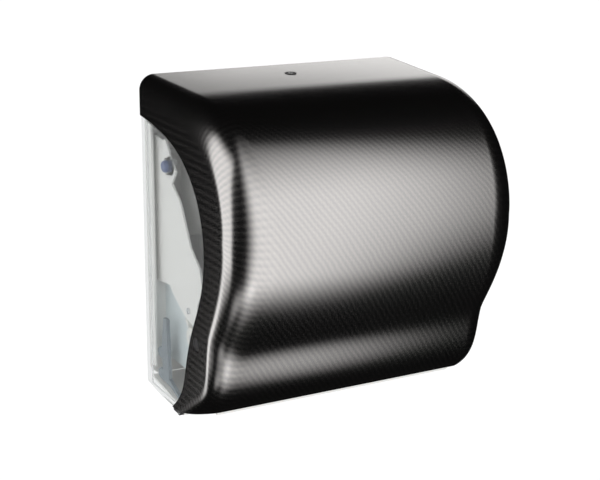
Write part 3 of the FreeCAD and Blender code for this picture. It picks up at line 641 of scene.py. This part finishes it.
@dataclass
class Cover:
    """The hinged front cover: a curved shell with rounded long edges and cut-away flanks."""

    half: float = 150.0
    wall: float = 3.0
    top_height: float = 317.6
    top_slope: float = 0.054
    top_reach: float = 101.0
    nose: tuple = (-232.7, 194.2)
    chin: tuple = (-187.1, 83.0)
    lip: tuple = (-148.0, 13.7)
    along_nose: tuple = (0.0, -1.0)
    along_chin: tuple = (0.362, -0.932)
    along_lip: tuple = (0.831, -0.556)
    upper_handles: tuple = (109.0, 31.7)
    lower_handles: tuple = (52.2, 13.7)
    foot_handles: tuple = (25.2, 38.4)
    roundings: tuple = (15.5, 21.4, 36.7, 26.4, 17.0)
    flank_edge: tuple = ((-148.0, 13.7), (-131.0, 7.6), (-114.0, 1.8), (-98.0, -2.9), (-82.0, -6.3),
                         (-68.0, -7.2))
    cut_edge: tuple = ((3.0, 278.0), (-54.0, 270.0), (-106.0, 250.0), (-137.0, 218.0), (-149.5, 170.0),
                       (-140.0, 127.0), (-118.0, 85.0), (-105.0, 51.0), (-94.0, 20.0), (-68.0, -7.2))
    lock: tuple = (-4.0, -41.6)
    lock_hole: float = 6.0
    lock_window: float = 9.0
    cap: tuple = (-129.6, 80.0)
    cap_hole: float = 6.5
    hinge: tuple = (-70.5, -13.0)
    rim_share: float = 0.28
    arc_steps: int = 16
    blend: float = 7.0
    column_shares: tuple = (-1.0, -0.6, -0.12, 0.06, 0.5, 1.0)

    def profile(self) -> tuple[np.ndarray, np.ndarray, np.ndarray]:
        """Side profile from the rear of the top to the lip.

        Each round stretch is a cubic curve with two handles. The edge rounding changes
        evenly with the length along each stretch.

        Returns:
            Places (y, z), unit directions, edge radii and the distance along the profile.
        """
        top_front = np.array([-self.top_reach, self.top_height - self.top_slope * self.top_reach])
        along_top = np.array([-1.0, -self.top_slope])
        behind_lock, before_lock = self.lock[1] + self.lock_window, self.lock[1] - self.lock_window
        y = np.array([0.0, -16.0, behind_lock, before_lock, -75.0, -90.0, -101.0])
        top = np.column_stack([y, self.top_height + self.top_slope * y])
        stretches = [(top, np.repeat(along_top[None], len(y), 0))]
        corners = [
            (top_front, along_top, self.nose, self.along_nose, self.upper_handles, 72),
            (self.nose, self.along_nose, self.chin, self.along_chin, self.lower_handles, 44),
            (self.chin, self.along_chin, self.lip, self.along_lip, self.foot_handles, 44),
        ]
        for corner in corners:
            stretches.append(self._stretch(*corner))
        places, along, radii = [], [], []
        for number, (line, direction) in enumerate(stretches):
            gaps = np.linalg.norm(np.diff(line, axis=0), axis=1)
            share = np.concatenate([[0.0], np.cumsum(gaps)]) / gaps.sum()
            radius = self.roundings[number] * (1 - share) + self.roundings[number + 1] * share
            skip = 0 if number == 0 else 1
            places.append(line[skip:])
            along.append(direction[skip:])
            radii.append(radius[skip:])
        direction = np.concatenate(along)
        direction /= np.linalg.norm(direction, axis=1)[:, None]
        line = np.concatenate(places)
        length = np.concatenate([[0.0], np.cumsum(np.linalg.norm(np.diff(line, axis=0), axis=1))])
        return line, direction, np.concatenate(radii), length

    def blended(self, along: np.ndarray, length: np.ndarray) -> np.ndarray:
        """Directions averaged over a few millimetres, so that shading changes evenly."""
        steps = np.gradient(length)
        apart = (length[:, None] - length[None, :]) / self.blend
        weight = np.exp(-0.5 * apart**2) * steps[None, :]
        mean = weight @ along
        return mean / np.linalg.norm(mean, axis=1)[:, None]

    @staticmethod
    def _stretch(start: Sequence[float], start_along: Sequence[float], end: Sequence[float],
                 end_along: Sequence[float], handles: Sequence[float],
                 count: int) -> tuple[np.ndarray, np.ndarray]:
        """Cubic curve between two places that leaves and arrives in given directions."""
        a, d = np.asarray(start, float), np.asarray(end, float)
        b = a + handles[0] * np.asarray(start_along)
        c = d - handles[1] * np.asarray(end_along)
        t = np.linspace(0.0, 1.0, count)[:, None]
        line = (1 - t) ** 3 * a + 3 * (1 - t) ** 2 * t * b + 3 * (1 - t) * t**2 * c + t**3 * d
        direction = (1 - t) ** 2 * (b - a) + 2 * (1 - t) * t * (c - b) + t**2 * (d - c)
        return line, direction

    def cross_section(self, places: np.ndarray, along: np.ndarray, shade: np.ndarray, radii: np.ndarray,
                      length: np.ndarray, angles: np.ndarray,
                      side: float) -> tuple[np.ndarray, np.ndarray, np.ndarray]:
        """The rounded edge on one side, for every place along the profile.

        At angle a the edge stands at x = half - r + r sin a, and r (1 - cos a) behind the
        profile. After the last angle a flat rim follows on the flank, and the shading turns
        evenly over the arc and the rim together.

        Args:
            places: Places on the profile.
            along: Directions there.
            shade: Directions there, blended for shading.
            radii: Edge radii there.
            length: Distance along the profile.
            angles: Angles from the front face to the flank.
            side: -1 for left, 1 for right.

        Returns:
            Points, normals and skin coordinates.
        """
        inwards = np.column_stack([-along[:, 1], along[:, 0]])
        r, a = radii[:, None], angles[None, :]
        x = self.half - r + r * np.sin(a)
        depth = r * (1 - np.cos(a))
        run = (self.half - r) + r * a
        rim = radii * self.rim_share
        x = np.column_stack([x, np.full(len(places), self.half)])
        depth = np.column_stack([depth, radii + rim])
        run = np.column_stack([run, run[:, -1] + rim])
        turn = self.eased(angles)
        yz = places[:, None] + inwards[:, None] * depth[..., None]
        yz[..., 0] = np.minimum(yz[..., 0], 0.0)
        points = np.concatenate([side * x[..., None], yz], 2)
        sideways = np.broadcast_to(side * np.sin(turn)[None, :, None], (*x.shape, 1))
        outwards = np.column_stack([shade[:, 1], -shade[:, 0]])[:, None] * np.cos(turn)[None, :, None]
        normals = np.concatenate([sideways, outwards], 2)
        skin = np.stack([side * run, np.broadcast_to(length[:, None], run.shape)], 2)
        return points, normals, skin

    def eased(self, angles: np.ndarray) -> np.ndarray:
        """Shading angles of the arc's columns and of the rim's far side, which is square."""
        reach = math.pi / 2 + self.rim_share
        return np.append(angles / reach, 1.0) * (math.pi / 2)

    def front_patches(self, places: np.ndarray, shade: np.ndarray, radii: np.ndarray,
                      length: np.ndarray) -> list[Patch]:
        """The face between the rounded edges, with a round hole for the lock."""
        shares = np.array(self.column_shares)
        x = shares[None, :] * (self.half - radii)[:, None]
        yz = np.broadcast_to(places[:, None], (*x.shape, 2))
        outwards = np.column_stack([np.zeros(len(places)), shade[:, 1], -shade[:, 0]])
        normals = np.broadcast_to(outwards[:, None], (*x.shape, 3)).copy()
        points = np.concatenate([x[..., None], yz], 2)
        skin = np.stack([x, np.broadcast_to(length[:, None], x.shape)], 2)
        column = int(np.argmax(shares > -0.2))
        row = 2
        patches = [
            grid_patch(points[:, : column + 1], normals[:, : column + 1], skin[:, : column + 1]),
            grid_patch(points[:, column + 1:], normals[:, column + 1:], skin[:, column + 1:]),
        ]
        strip = slice(column, column + 2)
        for rows in (slice(0, row + 1), slice(row + 1, None)):
            patches.append(grid_patch(points[rows, strip], normals[rows, strip], skin[rows, strip]))
        corner = points[[row, row, row + 1, row + 1], [column, column + 1, column + 1, column]]
        hole = ring_of(self.lock, self.lock_hole, 48)
        shift = length[row] + places[row, 0]
        patches.append(flat_patch(
            [corner[:, :2], hole],
            lambda flat: np.column_stack([flat, self.top_height + self.top_slope * flat[:, 1]]),
            normals[row, column],
            lambda flat: np.column_stack([flat[:, 0], shift - flat[:, 1]]),
        ))
        return patches

    def toe(self, angles: np.ndarray, side: float, length: float) -> tuple[Patch, np.ndarray]:
        """The rounded edge below the lip, cut along the flank's lower edge.

        Args:
            angles: Angles of the rounded edge.
            side: -1 for left, 1 for right.
            length: Distance along the profile at the lip.

        Returns:
            The patch and the lowest line of its flat rim, as (y, z).
        """
        rows = 14
        radius = self.roundings[-1]
        along = np.asarray(self.along_lip) / np.linalg.norm(self.along_lip)
        inwards = np.array([-along[1], along[0]])
        rim = radius * self.rim_share
        depth = np.append(radius * (1 - np.cos(angles)), radius + rim)
        starts = np.asarray(self.lip) + depth[:, None] * inwards
        edge = spline(self.flank_edge, 120)
        run = np.linspace(0.0, 90.0, 1801)
        y = starts[:, None, 0] + run * along[0]
        z = starts[:, None, 1] + run * along[1]
        under = z < np.interp(y, edge[:, 0], edge[:, 1])
        reach = run[np.argmax(under, 1)]
        reach[0] = 0.0
        share = np.linspace(0.0, 1.0, rows)
        travel = share[:, None] * reach[None, :]
        yz = starts[None] + travel[..., None] * along
        turn = self.eased(angles)
        x = np.append(self.half - radius + radius * np.sin(angles), self.half)
        points = np.concatenate([np.broadcast_to(side * x[None, :, None], (*travel.shape, 1)), yz], 2)
        sideways = np.broadcast_to(side * np.sin(turn)[None, :, None], (*travel.shape, 1))
        outwards = np.broadcast_to(-inwards * np.cos(turn)[:, None], (*travel.shape, 2))
        normals = np.concatenate([sideways, outwards], 2)
        straight = self.half - radius
        across = np.append(straight + radius * angles, straight + radius * math.pi / 2 + rim)
        skin = np.stack([np.broadcast_to(side * across, travel.shape), length + travel], 2)
        return grid_patch(points, normals, skin), yz[:, -1]

    def flank(self, side: float, front_line: np.ndarray, toe_line: np.ndarray) -> Patch:
        """The flat flank between the rounded edge and the S-shaped cut, with the cap's hole."""
        edge = spline(self.flank_edge, 60)
        low = edge[edge[:, 0] > toe_line[-1, 0] + 0.5]
        cut = spline(self.cut_edge, 140)[::-1][1:]
        cut = cut[cut[:, 0] < -0.5]
        top = np.array([[0.0, cut[-1, 1] + 0.1]])
        outline = np.concatenate([front_line, toe_line[1:], low, cut, top])
        return flat_patch(
            [outline, ring_of(self.cap, self.cap_hole, 40)],
            lambda flat: np.column_stack([np.full(len(flat), side * self.half), flat]),
            (side, 0.0, 0.0),
            lambda flat: np.column_stack([side * (flat[:, 0] + 290.0), -flat[:, 1]]),
        )

    def skin_shell(self) -> bpy.types.Object:
        """The cover's shell."""
        places, along, radii, length = self.profile()
        shade = self.blended(along, length)
        angles = np.linspace(0.0, math.pi / 2, self.arc_steps + 1)
        patches = self.front_patches(places, shade, radii, length)
        for side in (-1.0, 1.0):
            points, normals, skin = self.cross_section(places, along, shade, radii, length, angles, side)
            patches.append(grid_patch(points, normals, skin))
            toe, toe_line = self.toe(angles, side, length[-1])
            patches.append(toe)
            patches.append(self.flank(side, points[:, -1, 1:], toe_line))
        return shell("cover_shell", patches, self.wall)

    def hinge_ear(self, side: float, name: str) -> bpy.types.Object:
        """The cover's knuckle with its web, a rounded tongue in outline."""
        turn = np.radians(np.linspace(200.0, 380.0, 15))
        round_end = np.asarray(self.hinge) + 3.8 * np.column_stack([np.cos(turn), np.sin(turn)])
        root, heel = [(-75.0, -7.6), (-75.2, -10.0)], [(-66.8, -9.0), (-70.5, -8.0)]
        outline = np.concatenate([root, round_end, heel])
        return prism(name, [outline, ring_of(self.hinge, 2.55, 24)], side * 140.0, side * 144.0, 0.4)

    def hinge_bar(self, side: float, name: str) -> bpy.types.Object:
        """The bar that carries the knuckle out to the flank."""
        outline = np.array([(-81.0, -5.8), (-81.0, -9.0), (-80.2, -9.8), (-70.6, -9.8), (-70.0, -9.2),
                            (-70.0, -8.2), (-76.0, -7.6)])
        return prism(name, [outline], side * 140.0, side * 149.5, 0.3)

    def build(self, materials: dict[Slot, bpy.types.Material]) -> None:
        """Builds the cover's visible pieces."""
        skin = self.skin_shell()
        finish(skin, Slot.BLACK_PEARL, materials, "cover", "front_cover")
        for side, name in ((-1.0, "left"), (1.0, "right")):
            ear = self.hinge_ear(side, "cover_knuckle_" + name)
            bar = self.hinge_bar(side, "cover_hinge_bar_" + name)
            for piece in (ear, bar):
                finish(piece, Slot.BLACK_PLASTIC, materials, "cover", "front_cover")


def finish(piece: bpy.types.Object, slot: Slot, materials: dict[Slot, bpy.types.Material], body: str,
           *nodes: str) -> None:
    """Gives a new piece the material of its slot and its body, and hides the CAD nodes that it stands for.
    """
    piece.data.materials.clear()
    piece.data.materials.append(materials[slot])
    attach(piece, body)
    if nodes:
        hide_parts(*nodes)
    LOG.info("piece %s: %d faces", piece.name, len(piece.data.polygons))


def dress_nodes(materials: dict[Slot, bpy.types.Material]) -> None:
    """Gives every CAD node the material of its slot in the record."""
    for part in frame["record"]["subparts"]:
        node = frame["nodes"][part["node"]]
        node.data.materials.clear()
        node.data.materials.append(materials[Slot(part["material_slot"])])


# Studio


@dataclass
class Lobe:
    """A soft patch of light on the studio's dome, in degrees of azimuth and elevation.

    Azimuth counts from +Y towards +X, so 180 is in front of the dispenser. The lobe widens
    by flare at 45 degrees above and below, and moves back by lean for each degree of rise.
    """

    west: float
    east: float
    low: float
    high: float
    strength: float
    soft_side: float
    soft_height: float
    soft_low: float = 0.0
    flare: float = 0.0
    lean: float = 0.0

    def socket(self, graph: Graph, azimuth: Sock, elevation: Sock) -> Sock:
        """Strength of the lobe: a product of smooth rises and falls at its four borders."""
        s, h = self.soft_side, self.soft_height
        foot = self.soft_low or h
        upright_share = elevation / 45.0
        widening = upright_share * upright_share * self.flare
        leaning = azimuth + elevation * self.lean
        across = graph.step(leaning + widening, self.west - s, self.west + s) * (
            1.0 - graph.step(leaning - widening, self.east - s, self.east + s)
        )
        upright = graph.step(elevation, self.low - foot, self.low + foot) * (
            1.0 - graph.step(elevation, self.high - h, self.high + h)
        )
        return across * upright * self.strength


@dataclass
class Studio:
    """Pale floor, soft dome that only gloss sees, even white light and the camera."""

    eye: tuple = (-0.63089, -1.22737, 0.36704)
    right: tuple = (0.8813, -0.4726, 0.0078)
    up: tuple = (0.1241, 0.2472, 0.961)
    forward: tuple = (0.456, 0.8459, -0.2765)
    focal_pixels: float = 1343.5
    sensor: float = 36.0
    floor_level: float = -0.75
    dome_radius: float = 0.95
    dome_centre: tuple = (0.0, -0.1, 0.0)
    lobes: tuple = field(default_factory=lambda: (
        Lobe(147.0, 222.0, -51.0, 58.0, 3.3, 14.0, 34.0, soft_low=15.0, flare=8.0, lean=0.1),
        Lobe(268.0, 306.5, -26.0, 48.0, 3.3, 3.5, 11.0, soft_low=9.0, flare=2.5, lean=0.3),
        Lobe(304.0, 316.0, -40.0, -24.0, 2.6, 3.5, 4.0),
        Lobe(215.0, 266.0, -47.0, -38.0, 1.5, 8.0, 4.0),
        Lobe(370.0, 412.0, 15.0, 23.5, 1.9, 12.0, 3.5),
    ))

    def camera(self) -> None:
        """The camera of the photograph."""
        data = bpy.data.cameras.new("camera")
        data.sensor_width = self.sensor
        data.lens = self.focal_pixels / IMAGE_WIDTH * self.sensor
        data.clip_start, data.clip_end = 0.01, 60.0
        made = bpy.data.objects.new("camera", data)
        bpy.context.scene.collection.objects.link(made)
        back = -Vector(self.forward).normalized()
        across = Vector(self.up).cross(back).normalized()
        turn = Matrix((across, back.cross(across), back)).transposed()
        made.matrix_world = Matrix.Translation(self.eye) @ turn.to_4x4()
        bpy.context.scene.camera = made

    def floor(self) -> None:
        """A wide pale floor, far below the wall-mounted dispenser."""
        size = 14.0
        corners = [(-size, -size), (size, -size), (size, size), (-size, size)]
        mesh = bpy.data.meshes.new("floor")
        mesh.from_pydata([(x, y, self.floor_level) for x, y in corners], [], [(0, 1, 2, 3)])
        made = bpy.data.objects.new("floor", mesh)
        bpy.context.scene.collection.objects.link(made)
        graph = Graph("pale_floor")
        pale = (0.93, 0.93, 0.93)
        mesh.materials.append(graph.surface(Base_Color=pale, Roughness=0.8, Emission_Color=(1.0, 1.0, 1.0),
                                            Emission_Strength=0.1))
        made.visible_glossy = False

    def dome(self) -> None:
        """A dome round the dispenser whose soft patches only reflections see."""
        round_about = np.radians(np.linspace(0, 360, 73))
        upwards = np.radians(np.linspace(-90, 90, 37))
        azimuth, elevation = np.meshgrid(round_about, upwards)
        directions = np.stack([
            np.sin(azimuth) * np.cos(elevation), np.cos(azimuth) * np.cos(elevation), np.sin(elevation)
        ], 2)
        points = (np.asarray(self.dome_centre) + self.dome_radius * directions) / MM
        points = points + (0.0, 0.0, MOUNT_HEIGHT)
        patch = grid_patch(points, -directions, np.zeros((*azimuth.shape, 2)))
        made = build_mesh("dome", patch.points, patch.triangles, patch.normals[patch.triangles],
                          patch.skin[patch.triangles])
        graph = Graph("soft_dome")
        offset = graph.node("ShaderNodeVectorMath", {"operation": "SUBTRACT"},
                            {0: graph.object_place(), 1: self.dome_centre})
        x, y, z = graph.split(Sock(graph, offset.outputs[0]))
        turns = graph.maths("ARCTAN2", x, y) * (180.0 / math.pi)
        round_once = turns + graph.maths("LESS_THAN", turns, 60.0) * 360.0
        rise = graph.maths("ARCSINE", z / self.dome_radius) * (180.0 / math.pi)
        light = sum((lobe.socket(graph, round_once, rise) for lobe in self.lobes), start=0.008)
        glow = graph.node("ShaderNodeEmission", None, {"Color": (1.0, 0.985, 0.965), "Strength": light})
        graph.tree.links.new(glow.outputs[0], graph.output.inputs["Surface"])
        made.data.materials.append(graph.material)
        made.visible_camera = False
        made.visible_diffuse = False
        made.visible_shadow = False
        made.visible_transmission = False

    def world(self) -> None:
        """Even white surroundings."""
        made = bpy.data.worlds.new("studio")
        bpy.context.scene.world = made
        made.use_nodes = True
        made.node_tree.nodes["Background"].inputs["Color"].default_value = (1.0, 1.0, 1.0, 1.0)
        made.node_tree.nodes["Background"].inputs["Strength"].default_value = 1.0

    def lamps(self) -> None:
        """One broad lamp from the front left that shapes the pale pieces; gloss doesn't see it."""
        data = bpy.data.lights.new("key", "AREA")
        data.shape = "RECTANGLE"
        data.size, data.size_y = 1.2, 0.9
        data.energy = 6.0
        made = bpy.data.objects.new("key", data)
        bpy.context.scene.collection.objects.link(made)
        made.location = (-1.5, -1.1, 1.1)
        made.rotation_euler = (Vector((0.0, 0.0, 0.0)) - made.location).to_track_quat("-Z", "Y").to_euler()
        made.visible_glossy = False

    def build(self) -> None:
        """Builds the whole studio."""
        self.floor()
        self.dome()
        self.world()
        self.lamps()
        self.camera()
        bpy.context.scene.view_settings.view_transform = "Standard"


def main() -> None:
    """Builds the looks in order."""
    logging.basicConfig(level=logging.INFO, format="%(message)s")
    materials = finishes()
    dress_nodes(materials)
    Cover().build(materials)
    for side in ("left", "right"):
        frame["nodes"]["side_window_" + side].visible_shadow = False
    Studio().build()


if __name__ == "__main__":
    main()
